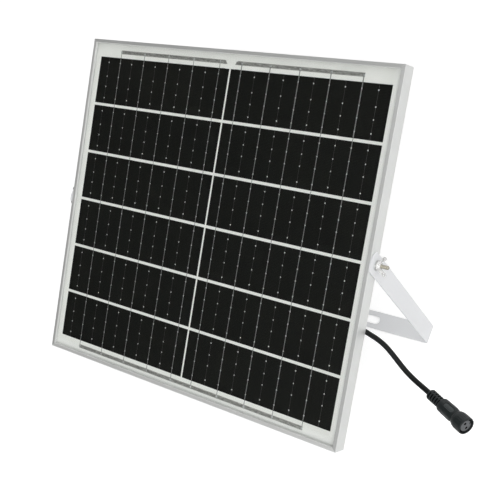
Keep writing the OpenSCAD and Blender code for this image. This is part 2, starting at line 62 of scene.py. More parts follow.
# ------------------------------------------------------------------ frames
PIVOT = Vector(JOINT["panel_tilt"]["pos_m"])
OUT = Vector(JOINT["lead_swing"]["axis"]).normalized()
RIGHT = Vector(JOINT["panel_tilt"]["axis"]).normalized()
UP = OUT.cross(RIGHT).normalized()


def basis(origin, *axes):
    """A frame measured in mm, with its origin in metres."""
    matrix = Matrix.Identity(4)
    for k in range(3):
        for i, axis in enumerate(axes):
            matrix[k][i] = axis[k] * MM
        matrix[k][3] = origin[k]
    return matrix


def span(node, axis, origin):
    """The least and greatest reach of a node along an axis, in mm from the origin."""
    reach = [(v.co - origin).dot(axis) / MM for v in NODES[node].data.vertices]
    return min(reach), max(reach)


def to_world(v):
    """A direction in the panel frame as a world direction."""
    return RIGHT * v.x + UP * v.y + OUT * v.z


BOTTOM = span("frame_rail_bottom", UP, PIVOT)[0]
TOP = span("frame_rail_top", UP, PIVOT)[1]
REAR, FRONT = span("frame_rail_bottom", OUT, PIVOT)
WIDTH = span("frame_rail_bottom", RIGHT, PIVOT)[1] * 2
HEIGHT = TOP - BOTTOM
DEPTH = FRONT - REAR
ORIGIN = PIVOT + UP * ((BOTTOM + TOP) / 2 * MM) + OUT * (REAR * MM)
PANEL = basis(ORIGIN, RIGHT, UP, OUT)
TO_PANEL = PANEL.inverted()

# the lead's three joints and the connector's axis, in the panel frame
SWING_AT, LIFT_AT, PLUG_AT = [TO_PANEL @ Vector(JOINT[name]["pos_m"])
                              for name in ("lead_swing", "lead_lift", "plug_swing")]
AXIS = Vector(JOINT["coupling_spin"]["axis"]).normalized()
axis_in_panel = Vector((AXIS.dot(RIGHT), AXIS.dot(UP), AXIS.dot(OUT)))
PLUG_AXIS = axis_in_panel.normalized()
YAW = math.atan2(axis_in_panel.y, axis_in_panel.x)
RISE = math.asin(axis_in_panel.z)
PLUG = (PANEL @ Matrix.Translation(PLUG_AT) @ Matrix.Rotation(YAW, 4, "Z")
        @ Matrix.Rotation(-RISE, 4, "Y") @ Matrix.Rotation(math.pi / 2, 4, "Y"))

# ------------------------------------------------------------------ camera
# place and directions in the panel frame
CAMERA_AT = Vector((541.763, 82.243, 731.436))
CAMERA_RIGHT = Vector((0.797369, 0.160110, -0.581865))
CAMERA_UP = Vector((-0.199784, 0.979831, -0.004161))
CAMERA_BACK = Vector((0.569463, 0.119565, 0.813275))


def link(name, data):
    ob = bpy.data.objects.new(name, data)
    bpy.context.scene.collection.objects.link(ob)
    return ob


def add_camera():
    data = bpy.data.cameras.new("camera")
    data.sensor_width = 36.0
    data.sensor_fit = "AUTO"
    data.lens = 62.674
    data.shift_x = 0.03699
    data.shift_y = 0.00968
    data.clip_start = 0.02
    data.clip_end = 60
    ob = link("camera", data)
    axes = [to_world(v).normalized() for v in (CAMERA_RIGHT, CAMERA_UP, CAMERA_BACK)]
    matrix = Matrix(axes).transposed().to_4x4()
    matrix.translation = PANEL @ CAMERA_AT
    ob.matrix_world = matrix
    bpy.context.scene.camera = ob


add_camera()

# ------------------------------------------------------------------ directions round the plug
facing = CAMERA_BACK.normalized()
TOWARDS = (facing - PLUG_AXIS * facing.dot(PLUG_AXIS)).normalized()   # the camera's side
ABOVE = PLUG_AXIS.cross(TOWARDS)                                      # upwards in its view
if ABOVE.dot(CAMERA_UP) < 0:
    ABOVE = -ABOVE


def plug_angle(degrees):
    """The angle in the plug frame of a direction turned from TOWARDS to ABOVE."""
    a = math.radians(degrees)
    v = PLUG.inverted().to_3x3() @ to_world(TOWARDS * math.cos(a) + ABOVE * math.sin(a))
    return math.atan2(v.y, v.x)


GRIP_ANGLE = plug_angle(16)
BOOT_ANGLE = plug_angle(24)
UPWARD = 1 if math.sin(plug_angle(90) - plug_angle(0)) > 0 else -1

# ------------------------------------------------------------------ sizes shared by sections
RAIL_WALL = 1.2
CELL_Z = span("solar_cells", OUT, ORIGIN)[1]      # front of the cells
CELL_BOTTOM, CELL_TOP = span("solar_cells", UP, ORIGIN)
CELL_PITCH = (184.05, 54.6)                       # column and row pitch
BUS_LO, BUS_HI = span("bus_ribbons", UP, ORIGIN)
BUS_MID = (BUS_HI - BUS_LO) / 2 - 2.0             # middle of a bus strip, from between the two
SOCKET_END = span("socket_contacts", AXIS, PLUG.translation)[1] + 5.3
GRIP_MID, GRIP_HALF = 30.6, 3.2                   # a finger flat's straight part along the plug


# ------------------------------------------------------------------ node builders
class Nodes:
    """Adds nodes to a node tree."""

    def __init__(self, tree):
        self.tree = tree
        tree.nodes.clear()

    def set_input(self, node, key, value):
        if isinstance(value, bpy.types.NodeSocket):
            self.tree.links.new(value, node.inputs[key])
        else:
            node.inputs[key].default_value = value

    def node(self, kind, inputs=None, **props):
        node = self.tree.nodes.new(kind)
        for key, value in props.items():
            setattr(node, key, value)
        for key, value in (inputs or {}).items():
            self.set_input(node, key, value)
        return node

    def math(self, operation, a, b=0.0):
        inputs = {0: a, 1: b, 2: 0.0}
        return self.node("ShaderNodeMath", inputs, operation=operation).outputs[0]

    def vector(self, operation, a, b):
        node = self.node("ShaderNodeVectorMath", {0: a, 1: b}, operation=operation)
        return node.outputs["Value" if operation == "DOT_PRODUCT" else "Vector"]

    def remap(self, value, over, to, **props):
        inputs = {"Value": value, "From Min": over[0], "From Max": over[1],
                  "To Min": to[0], "To Max": to[1]}
        return self.node("ShaderNodeMapRange", inputs, **props).outputs[0]


class Material(Nodes):
    """A procedural material; lengths in its methods are mm."""

    def __init__(self, name):
        self.material = bpy.data.materials.new(name)
        self.material.use_nodes = True
        super().__init__(self.material.node_tree)
        self.place = self.node("ShaderNodeTexCoord").outputs["Object"]

    def coordinates(self, origin, axes):
        offset = self.vector("SUBTRACT", self.place, tuple(origin))
        return [self.vector("DOT_PRODUCT", offset, tuple(axis / MM)) for axis in axes]

    def panel(self, count=3):
        """The first coordinates in the panel frame."""
        return self.coordinates(ORIGIN, (RIGHT, UP, OUT)[:count])

    def plug(self, count=3):
        """The first coordinates in the plug frame."""
        axes = [PLUG.col[i].xyz.normalized() for i in range(count)]
        return self.coordinates(PLUG.translation, axes)

    def xyz(self, x, y, z):
        return self.node("ShaderNodeCombineXYZ", {0: x, 1: y, 2: z}).outputs[0]

    def length(self, x, y):
        squares = [self.math("MULTIPLY", v, v) for v in (x, y)]
        return self.math("SQRT", self.math("ADD", *squares))

    def noise(self, vector=None, scale=1.0, detail=3.0, rough=0.55, distortion=0.0):
        """Noise over object mm, or over a given vector."""
        if vector is None:
            vector = self.vector("MULTIPLY", self.place, (1 / MM, 1 / MM, 1 / MM))
        inputs = {"Vector": vector, "Scale": scale, "Detail": detail, "Roughness": rough,
                  "Distortion": distortion}
        return self.node("ShaderNodeTexNoise", inputs).outputs["Fac"]

    def ramp(self, factor, stops):
        node = self.node("ShaderNodeValToRGB", {"Fac": factor})
        elements = node.color_ramp.elements
        while len(elements) < len(stops):
            elements.new(0.5)
        for element, (position, color) in zip(elements, stops):
            element.position = position
            element.color = (*color, 1.0)
        return node.outputs["Color"]

    def mix(self, factor, a, b):
        node = self.node("ShaderNodeMix", {0: factor}, data_type="RGBA", blend_type="MIX")
        for key, color in ((6, a), (7, b)):
            self.set_input(node, key, (*color, 1.0) if isinstance(color, tuple) else color)
        return node.outputs[2]

    def bump(self, height, depth, strength):
        inputs = {"Height": height, "Distance": depth * MM, "Strength": strength}
        return self.node("ShaderNodeBump", inputs).outputs[0]

    def finish(self, color, rough, normal, metal=0.0, spec=0.5):
        inputs = {"Base Color": color, "Roughness": rough, "Metallic": metal,
                  "Specular IOR Level": spec, "Normal": normal}
        return self.output(self.node("ShaderNodeBsdfPrincipled", inputs).outputs[0])

    def output(self, shader):
        self.node("ShaderNodeOutputMaterial", {"Surface": shader})
        return self.material


def tone(color, factor):
    return tuple(max(0.0, min(1.0, x * factor)) for x in color)


# ------------------------------------------------------------------ materials
def powder_coat():
    mat = Material("powder_coat")
    base = (0.800, 0.808, 0.822)
    cloud = mat.noise(scale=0.02, detail=2)
    fine = mat.noise(scale=0.9, detail=3, rough=0.6)
    peel = mat.noise(scale=1.6, detail=2, rough=0.5)
    return mat.finish(color=mat.ramp(cloud, [(0.3, tone(base, 0.975)), (0.7, tone(base, 1.012))]),
                      rough=mat.remap(fine, over=(0.3, 0.7), to=(0.36, 0.46)),
                      normal=mat.bump(peel, depth=0.02, strength=0.5), spec=0.45)


# noise scale along panel x, y and z; the small one draws lines out along that axis
GRAIN = {"x": (0.012, 3.2, 3.2), "y": (3.2, 0.012, 3.2), "any": (1.3, 1.3, 1.3)}


def anodised(name, along, base, rough, metal):
    """Extruded aluminium with die lines along one axis."""
    mat = Material(name)
    place = mat.panel()
    stretched = mat.xyz(*[mat.math("MULTIPLY", v, k) for v, k in zip(place, GRAIN[along])])
    line = mat.noise(stretched, scale=1.0, detail=4, rough=0.65)
    cloud = mat.noise(scale=0.03, detail=3)
    color = mat.ramp(cloud, [(0.3, tone(base, 0.965)), (0.7, tone(base, 1.02))])
    color = mat.mix(mat.remap(line, over=(0.35, 0.65), to=(0.0, 0.10)), color, tone(base, 0.72))
    if along == "y":
        # painted shade: the lip's front face is darkened towards the foot, in place of the dark
        # reflection it shows
        on_face = mat.remap(place[2], over=(16.6, 16.9), to=(0.0, 1.0))
        lip_painted_shade = mat.remap(place[1], over=(-180.0, 180.0), to=(0.72, 0.25))
        color = mat.mix(mat.math("MULTIPLY", on_face, lip_painted_shade), color, tone(base, 0.58))
    return mat.finish(color, rough=mat.remap(line, over=(0.3, 0.7), to=rough), metal=metal,
                      normal=mat.bump(line, depth=0.006, strength=0.6))


def clear_glass():
    """Glass for camera rays, plainly transparent for shadow and diffuse rays."""
    mat = Material("toughened_glass")
    rays = mat.node("ShaderNodeLightPath").outputs
    through = mat.math("MAXIMUM", rays["Is Shadow Ray"], rays["Is Diffuse Ray"])
    wave = mat.noise(scale=0.06, detail=2)
    haze = mat.noise(scale=0.02, detail=4)
    glass = mat.node("ShaderNodeBsdfPrincipled", {
        "Base Color": (0.985, 0.997, 0.992, 1),
        "Roughness": mat.remap(haze, over=(0.35, 0.75), to=(0.004, 0.020)),
        "IOR": 1.45,
        "Transmission Weight": 1.0,
        "Specular IOR Level": 0.32,
        "Normal": mat.bump(wave, depth=0.02, strength=0.12)}).outputs[0]
    clear = mat.node("ShaderNodeBsdfTransparent", {"Color": (0.978, 0.982, 0.978, 1)}).outputs[0]
    mixed = mat.node("ShaderNodeMixShader", {0: through, 1: glass, 2: clear})
    return mat.output(mixed.outputs[0])


def clear_film():
    mat = Material("clear_film")
    color = mat.ramp(mat.noise(scale=0.05, detail=3),
                     [(0.3, (0.985, 0.99, 0.985)), (0.7, (0.995, 0.997, 0.995))])
    return mat.output(mat.node("ShaderNodeBsdfTransparent", {"Color": color}).outputs[0])


def white_film(name, base, spec):
    """White film, with painted light along its right and bottom margins, lifting the shade the
    frame's lip casts there.
    """
    mat = Material(name)
    cloud = mat.noise(scale=0.03, detail=4)
    weave = mat.noise(scale=1.2, detail=3)
    painted_light_margin = (0.985, 0.985, 0.965)
    x, y = mat.panel(2)
    down = mat.math("MULTIPLY", y, -1.0)
    color = mat.ramp(cloud, [(0.3, tone(base, 0.97)), (0.7, tone(base, 1.015))])
    # painted light: paler towards the right and bottom margins
    color = mat.mix(mat.remap(x, over=(181.0, 186.0), to=(0.0, 0.9)), color, painted_light_margin)
    color = mat.mix(mat.remap(down, over=(168.0, 172.0), to=(0.0, 0.9)), color, painted_light_margin)
    return mat.finish(color, rough=mat.remap(weave, over=(0.3, 0.7), to=(0.5, 0.62)), spec=spec,
                      normal=mat.bump(mat.noise(scale=0.35, detail=3), depth=0.03, strength=0.5))


def cell_dark():
    """Dark silicon with its own tint on each cell and fine printed fingers."""
    mat = Material("cell_silicon")
    finger_pitch = 1.4
    finger_half = 0.022     # as a share of the pitch
    x, y = mat.panel(2)
    from_left = mat.math("ADD", x, 400)
    from_bottom = mat.math("SUBTRACT", y, CELL_BOTTOM - 1.5)
    column, row = [mat.math("FLOOR", mat.math("DIVIDE", v, pitch))
                   for v, pitch in zip((from_left, from_bottom), CELL_PITCH)]
    random = mat.node("ShaderNodeTexWhiteNoise", {"Vector": mat.xyz(column, row, 3.0)},
                      noise_dimensions="3D").outputs["Value"]
    tint = mat.ramp(random, [(0.0, (0.0066, 0.0068, 0.0057)), (0.5, (0.0075, 0.0077, 0.0064)),
                             (1.0, (0.0089, 0.0089, 0.0074))])
    phase = mat.math("FRACT", mat.math("DIVIDE", y, finger_pitch))
    from_finger = mat.math("ABSOLUTE", mat.math("SUBTRACT", phase, 0.5))
    finger = mat.math("LESS_THAN", from_finger, finger_half)
    mottle = mat.noise(scale=0.12, detail=5, rough=0.6)
    cloud = mat.remap(mat.noise(scale=0.015, detail=2), over=(0.35, 0.7), to=(0.0, 0.5))
    color = mat.mix(cloud, tint, (0.0060, 0.0068, 0.0064))
    color = mat.mix(mat.remap(mottle, over=(0.35, 0.7), to=(0.0, 0.35)), color,
                    (0.0034, 0.0035, 0.0032))
    color = mat.mix(mat.math("MULTIPLY", finger, 0.8), color, (0.05, 0.05, 0.045))
    return mat.finish(color, rough=mat.remap(mottle, over=(0.3, 0.7), to=(0.30, 0.42)),
                      normal=mat.bump(mottle, depth=0.004, strength=0.3), spec=0.08)


def tinned(name, base, grain, depth, rough, metal, variation):
    mat = Material(name)
    fine = mat.noise(scale=grain, detail=3, rough=0.6)
    cloud = mat.noise(scale=0.35, detail=2)
    darker = mat.remap(fine, over=(0.3, 0.7), to=(0.0, variation))
    paler = mat.remap(cloud, over=(0.4, 0.75), to=(0.0, variation))
    color = mat.mix(darker, base, tone(base, 0.55))
    color = mat.mix(paler, color, tone(base, 1.35))
    return mat.finish(color, rough=mat.remap(fine, over=(0.3, 0.7), to=rough), metal=metal,
                      normal=mat.bump(fine, depth=depth, strength=0.7))


def bus_strip():
    """Hand-tinned strip: blotched solder with paler rolled edges."""
    mat = Material("tinned_bus")
    x, y = mat.panel(2)
    stretched = mat.xyz(mat.math("MULTIPLY", x, 0.22), mat.math("MULTIPLY", y, 0.75), 1.0)
    blotch = mat.noise(stretched, scale=1.0, detail=4, rough=0.65, distortion=0.6)
    fine = mat.noise(scale=1.3, detail=3, rough=0.6)
    # the two strips lie evenly about y = -1.1
    from_middle = mat.math("ABSOLUTE", mat.math("ADD", y, 1.1))
    from_strip = mat.math("ABSOLUTE", mat.math("SUBTRACT", from_middle, BUS_MID))
    edge = mat.remap(from_strip, over=(1.35, 1.85), to=(0.0, 1.0))
    color = mat.ramp(blotch, [(0.30, (0.17, 0.17, 0.16)), (0.48, (0.30, 0.30, 0.285)),
                              (0.62, (0.44, 0.44, 0.42)), (0.78, (0.66, 0.66, 0.63))])
    color = mat.mix(mat.math("MULTIPLY", edge, 0.55), color, (0.62, 0.62, 0.60))
    return mat.finish(color, rough=mat.remap(fine, over=(0.3, 0.7), to=(0.34, 0.56)), metal=0.55,
                      normal=mat.bump(blotch, depth=0.25, strength=0.8))


def moulded(name, base, grain, depth, rough, spec=0.5, variation=0.25):
    mat = Material(name)
    fine = mat.noise(scale=grain, detail=3, rough=0.6)
    cloud = mat.noise(scale=0.12, detail=3)
    color = mat.mix(mat.remap(cloud, over=(0.35, 0.7), to=(0.0, 1.0)),
                    tone(base, 1 - variation / 2), tone(base, 1 + variation / 2))
    return mat.finish(color, rough=mat.remap(fine, over=(0.3, 0.7), to=rough), spec=spec,
                      normal=mat.bump(fine, depth=depth, strength=0.6))


def plated(name, base, rough, grain=1.4, metal=1.0, depth=0.01):
    mat = Material(name)
    fine = mat.noise(scale=grain, detail=4, rough=0.6)
    color = mat.mix(mat.remap(fine, over=(0.35, 0.7), to=(0.0, 0.35)), base, tone(base, 0.8))
    return mat.finish(color, rough=mat.remap(fine, over=(0.3, 0.7), to=rough), metal=metal,
                      normal=mat.bump(mat.noise(scale=3.0, detail=2), depth=depth, strength=0.5))


def boot_rubber():
    """Satin rubber, with painted shade down in its slots."""
    mat = Material("boot_rubber")
    radius = mat.length(*mat.plug(2))
    slot_shade_radii = (4.0, 4.75)      # radii of full painted shade and full colour
    fine = mat.noise(scale=1.8, detail=3)
    cloud = mat.noise(scale=0.15, detail=3)
    color = mat.mix(mat.remap(cloud, over=(0.35, 0.7), to=(0.0, 1.0)),
                    (0.020, 0.024, 0.025), (0.028, 0.032, 0.033))
    color = mat.mix(mat.remap(radius, over=slot_shade_radii, to=(1.0, 0.0)), color, (0.0025, 0.003, 0.003))
    return mat.finish(color, rough=mat.remap(fine, over=(0.3, 0.7), to=(0.42, 0.56)),
                      normal=mat.bump(fine, depth=0.02, strength=0.6),
                      spec=mat.remap(radius, over=slot_shade_radii, to=(0.02, 0.22)))


def connector_nylon():
    """Satin nylon with four finger flats, painted paler as a painted sheen over their fine grain.
    """
    mat = Material("black_nylon")
    x, y, z = mat.plug()
    cosine, sine = math.cos(GRIP_ANGLE), math.sin(GRIP_ANGLE)
    turned_x = mat.math("ADD", mat.math("MULTIPLY", x, cosine), mat.math("MULTIPLY", y, sine))
    turned_y = mat.math("SUBTRACT", mat.math("MULTIPLY", y, cosine), mat.math("MULTIPLY", x, sine))
    across = mat.math("MINIMUM", mat.math("ABSOLUTE", turned_x), mat.math("ABSOLUTE", turned_y))
    from_mid = mat.math("ABSOLUTE", mat.math("SUBTRACT", z, GRIP_MID))
    beyond = mat.math("MAXIMUM", mat.math("SUBTRACT", from_mid, GRIP_HALF), 0.0)
    reach = mat.length(across, beyond)
    grain = mat.noise(scale=1.8, detail=3)
    fine = mat.noise(scale=4.0, detail=3)
    cloud = mat.noise(scale=0.12, detail=3)
    color = mat.mix(mat.remap(cloud, over=(0.35, 0.7), to=(0.0, 1.0)),
                    (0.0165, 0.0205, 0.0210), (0.0215, 0.0255, 0.0260))
    # painted sheen: the flats are coloured paler than the rest of the body
    flat_sheen_color = mat.mix(mat.remap(fine, over=(0.4, 0.6), to=(0.0, 1.0)),
                     (0.040, 0.047, 0.048), (0.056, 0.063, 0.064))
    color = mat.mix(mat.remap(reach, over=(2.15, 2.5), to=(1.0, 0.0)), color, flat_sheen_color)
    # a shadow line round each flat
    rim = mat.math("MULTIPLY", mat.remap(reach, over=(2.3, 2.5), to=(0.0, 1.0)),
                   mat.remap(reach, over=(2.6, 2.9), to=(1.0, 0.0)))
    color = mat.mix(rim, color, (0.006, 0.007, 0.007))
    return mat.finish(color, rough=mat.remap(grain, over=(0.3, 0.7), to=(0.30, 0.42)),
                      normal=mat.bump(grain, depth=0.02, strength=0.6), spec=0.24)


def socket_face():
    """Grey moulding with painted shade on its inside behind its end face."""
    mat = Material("grey_moulding")
    x, y, z = mat.plug()
    behind = mat.remap(z, over=(SOCKET_END - 0.45, SOCKET_END - 0.05), to=(1.0, 0.0))
    within = mat.remap(mat.length(x, y), over=(4.0, 4.2), to=(1.0, 0.0))
    # painted shade inside the bore: darker colour and weaker specular
    bore_painted_shade = mat.math("MULTIPLY", behind, within)
    fine = mat.noise(scale=2.0, detail=3)
    cloud = mat.noise(scale=0.3, detail=3)
    color = mat.mix(mat.remap(cloud, over=(0.35, 0.7), to=(0.0, 1.0)),
                    (0.094, 0.099, 0.104), (0.118, 0.123, 0.130))
    color = mat.mix(bore_painted_shade, color, (0.003, 0.003, 0.003))
    return mat.finish(color, rough=mat.remap(fine, over=(0.3, 0.7), to=(0.38, 0.5)),
                      normal=mat.bump(fine, depth=0.01, strength=0.6),
                      spec=mat.math("SUBTRACT", 0.4, mat.math("MULTIPLY", bore_painted_shade, 0.38)))


MAT = {
    "coat": powder_coat(),
    "alu_x": anodised("anodised_horizontal", "x", base=(0.87, 0.88, 0.865),
                      rough=(0.32, 0.44), metal=0.69),
    # painted light: the bottom rail has its own paler copy of the anodised finish, so that rail
    # reads brighter than the others
    "alu_bottom_painted_light": anodised("anodised_bottom_painted_paler", "x", base=(0.93, 0.935, 0.92),
                        rough=(0.34, 0.46), metal=0.62),
    "alu_y": anodised("anodised_upright", "y", base=(0.86, 0.87, 0.855),
                      rough=(0.42, 0.54), metal=0.62),
    "alu_mill": anodised("mill_finish", "any", base=(0.66, 0.67, 0.68),
                         rough=(0.28, 0.5), metal=1.0),
    "silicone": moulded("white_silicone", base=(0.72, 0.73, 0.72), grain=0.8, depth=0.03,
                        rough=(0.35, 0.5), spec=0.4, variation=0.06),
    "glass": clear_glass(),
    "film": clear_film(),
    "rear_film": white_film("white_encapsulant", base=(0.875, 0.875, 0.845), spec=0.3),
    "backsheet": white_film("white_backsheet", base=(0.78, 0.79, 0.785), spec=0.4),
    "cell": cell_dark(),
    "ribbon": tinned("tinned_ribbon", base=(0.31, 0.315, 0.31), grain=1.1, depth=0.05,
                     rough=(0.34, 0.52), metal=0.85, variation=0.6),
    "bus": bus_strip(),
    "print": tinned("printed_silver", base=(0.10, 0.10, 0.098), grain=1.5, depth=0.01,
                    rough=(0.45, 0.6), metal=0.3, variation=0.5),
    "pad": tinned("printed_pad", base=(0.92, 0.93, 0.91), grain=1.2, depth=0.01,
                  rough=(0.4, 0.55), metal=0.15, variation=0.3),
    "solder": tinned("solder", base=(0.72, 0.73, 0.73), grain=1.4, depth=0.03,
                     rough=(0.22, 0.4), metal=0.95, variation=0.2),
    "box": moulded("black_moulding", base=(0.022, 0.023, 0.025), grain=2.4, depth=0.03,
                   rough=(0.42, 0.58)),
    "zinc": plated("bright_zinc", base=(0.72, 0.73, 0.72), rough=(0.22, 0.38)),
    "nickel": plated("bright_nickel", base=(0.80, 0.80, 0.79), rough=(0.20, 0.34),
                     grain=0.6, metal=0.62, depth=0.012),
    "bolt": plated("pale_passivated_steel", base=(0.50, 0.475, 0.40), rough=(0.12, 0.22),
                   grain=1.2, depth=0.012),
    "brass": plated("plain_brass", base=(0.80, 0.64, 0.34), rough=(0.2, 0.35)),
    "lead": moulded("lead_jacket", base=(0.0075, 0.0085, 0.0085), grain=1.6, depth=0.02,
                    rough=(0.34, 0.46), spec=0.16),
    "core_red": moulded("red_insulation", base=(0.50, 0.03, 0.025), grain=2.0, depth=0.01,
                        rough=(0.3, 0.4), variation=0.1),
    "core_black": moulded("black_insulation", base=(0.02, 0.02, 0.02), grain=2.0, depth=0.01,
                          rough=(0.3, 0.4)),
    "plug": connector_nylon(),
    "boot": boot_rubber(),
    "insert": socket_face(),
    "seal": moulded("red_brown_silicone", base=(0.40, 0.08, 0.04), grain=2.0, depth=0.01,
                    rough=(0.35, 0.45)),
}


# ------------------------------------------------------------------ mesh helpers
# a part is a pair: its vertices and its faces
def face_outwards(mesh, weld=False):
    bm = bmesh.new()
    bm.from_mesh(mesh)
    if weld:
        bmesh.ops.remove_doubles(bm, verts=bm.verts, dist=1e-7)
    bmesh.ops.recalc_face_normals(bm, faces=bm.faces)
    bm.to_mesh(mesh)
    bm.free()


def new_mesh(name, part):
    mesh = bpy.data.meshes.new(name)
    mesh.from_pydata([tuple(v) for v in part[0]], [], part[1])
    return mesh


def shade_smooth(mesh, sharp):
    for polygon in mesh.polygons:
        polygon.use_smooth = True
    mesh.set_sharp_from_angle(angle=math.radians(sharp))


def piece(name, part, place, body, material, replaces=None, sharp=35):
    """An object from a part in mm; if it replaces a node, that node is hidden."""
    mesh = new_mesh(name, part)
    mesh.transform(place)
    face_outwards(mesh, weld=True)
    mesh.validate()
    shade_smooth(mesh, sharp)
    mesh.materials.append(MAT[material])
    ob = link(name, mesh)
    if body:
        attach(ob, body)
    if replaces:
        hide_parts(replaces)
    return ob


def side_faces(rows, size, closed=False):
    """Quads between neighbouring rows; closed joins the last row to the first."""
    faces = []
    for row in range(rows if closed else rows - 1):
        near, far = row * size, (row + 1) % rows * size
        for i in range(size):
            j = (i + 1) % size
            faces.append((near + i, near + j, far + j, far + i))
    return faces


def skin_faces(rows, size, closed=False):
    """Side faces, with both ends capped unless closed."""
    faces = side_faces(rows, size, closed)
    if not closed:
        faces.append(tuple(reversed(range(size))))
        faces.append(tuple(range((rows - 1) * size, rows * size)))
    return faces


def rings(stations, count, closed=False):
    """A skin over rings round z; each station is z and a radius or a function of angle."""
    verts = []
    for z, radius in stations:
        for i in range(count):
            a = 2 * math.pi * i / count
            r = radius(a) if callable(radius) else radius
            verts.append((r * math.cos(a), r * math.sin(a), z))
    return verts, skin_faces(len(stations), count, closed)


def merge(*parts):
    verts, faces = [], []
    for part_verts, part_faces in parts:
        start = len(verts)
        verts += part_verts
        faces += [tuple(i + start for i in face) for face in part_faces]
    return verts, faces


def prism(outline, z0, z1):
    n = len(outline)
    verts = [(x, y, z) for z in (z0, z1) for x, y in outline]
    faces = [tuple(reversed(range(n))), tuple(range(n, 2 * n))]
    faces += [(i, (i + 1) % n, n + (i + 1) % n, n + i) for i in range(n)]
    return verts, faces


def rectangle(x0, x1, y0, y1):
    return [(x0, y0), (x1, y0), (x1, y1), (x0, y1)]


def rounded(points, radii, steps):
    """A closed outline with each corner rounded by its own radius."""
    outline, n = [], len(points)
    for i, radius in enumerate(radii):
        corner = Vector(points[i])
        back = (Vector(points[i - 1]) - corner).normalized()
        ahead = (Vector(points[(i + 1) % n]) - corner).normalized()
        half = back.angle(ahead) / 2
        cut = radius / math.tan(half)
        centre = corner + (back + ahead).normalized() * (radius / math.sin(half))
        first = corner + back * cut - centre
        last = corner + ahead * cut - centre
        sweep_angle = first.angle(last)
        for k in range(steps + 1):
            share = k / steps
            w0 = math.sin((1 - share) * sweep_angle) / math.sin(sweep_angle)
            w1 = math.sin(share * sweep_angle) / math.sin(sweep_angle)
            outline.append(tuple(centre + first * w0 + last * w1))
    return outline


def drill(ob, radius, z0, z1, place):
    """Cuts a round hole and bakes all the object's modifiers into its mesh."""
    mesh = new_mesh("cutter", rings([(z0, radius), (z1, radius)], 32))
    mesh.transform(place)
    cutter = link("cutter", mesh)
    cut = ob.modifiers.new("hole", "BOOLEAN")
    cut.operation, cut.solver, cut.object = "DIFFERENCE", "EXACT", cutter
    bpy.context.view_layer.update()
    graph = bpy.context.evaluated_depsgraph_get()
    baked = bpy.data.meshes.new_from_object(ob.evaluated_get(graph))
    ob.modifiers.clear()
    ob.data = baked
    bpy.data.objects.remove(cutter)


def smooth(t):
    t = max(0.0, min(1.0, t))
    return t * t * (3 - 2 * t)


# ------------------------------------------------------------------ frame rails
LIP_WIDTH, LIP_THICK = 3.85, 1.4        # over the glass
FLANGE_WIDTH = 12.0                     # along the rear
LEDGE_WIDTH, LEDGE_THICK = 7.0, 1.0     # under the backsheet
LEDGE_TOP = span("backsheet", OUT, ORIGIN)[0]
LEDGE_LOW = LEDGE_TOP - LEDGE_THICK
LIP_LOW = DEPTH - LIP_THICK
RAIL_SECTION = [                        # inward, height, corner radius
    (0, 0, 0.3), (FLANGE_WIDTH, 0, 0.4), (FLANGE_WIDTH, RAIL_WALL, 0.3),
    (RAIL_WALL, RAIL_WALL, 0.5), (RAIL_WALL, LEDGE_LOW, 0.25), (LEDGE_WIDTH, LEDGE_LOW, 0.3),
    (LEDGE_WIDTH, LEDGE_TOP, 0.3), (RAIL_WALL, LEDGE_TOP, 0.2), (RAIL_WALL, LIP_LOW, 0.25),
    (LIP_WIDTH, LIP_LOW, 0.4), (LIP_WIDTH, DEPTH, 0.3), (0, DEPTH, 0.22)]
RAIL_CUTS = (-1.0, -0.6, -0.2, 0.2, 0.6, 1.0)   # places along the rail, as shares of its half
PIVOT_HOLE_RADIUS = 2.1


def rail(name, length, x, y, degrees, material, hole=None):
    """One extrusion, mitred at both ends; hole is the pivot hole's place along it."""
    section = rounded([row[:2] for row in RAIL_SECTION], [row[2] for row in RAIL_SECTION], 3)
    n = len(section)
    verts = [(share * (length / 2 - max(inward, 0.0)), inward, height)
             for share in RAIL_CUTS for inward, height in section]
    faces = side_faces(len(RAIL_CUTS), n)
    faces.append(tuple(range(n)))
    faces.append(tuple(reversed(range(len(verts) - n, len(verts)))))
    turned = Matrix.Rotation(math.radians(degrees), 4, "Z")
    place = PANEL @ Matrix.Translation((x, y, 0)) @ turned
    ob = piece(name + "_extrusion", (verts, faces), place, "panel", material, name, sharp=12)
    if hole is not None:
        inwards = Matrix.Rotation(-math.pi / 2, 4, "X")
        hole_place = place @ Matrix.Translation((hole, 0, -REAR)) @ inwards
        drill(ob, PIVOT_HOLE_RADIUS, -2, 4, hole_place)


PIVOT_Y = (TO_PANEL @ PIVOT).y
rail("frame_rail_top", WIDTH, 0, HEIGHT / 2, 180, "alu_x")
rail("frame_rail_bottom", WIDTH, 0, -HEIGHT / 2, 0, "alu_bottom_painted_light")
rail("frame_rail_left", HEIGHT, -WIDTH / 2, 0, -90, "alu_y", -PIVOT_Y)
rail("frame_rail_right", HEIGHT, WIDTH / 2, 0, 90, "alu_y", PIVOT_Y)

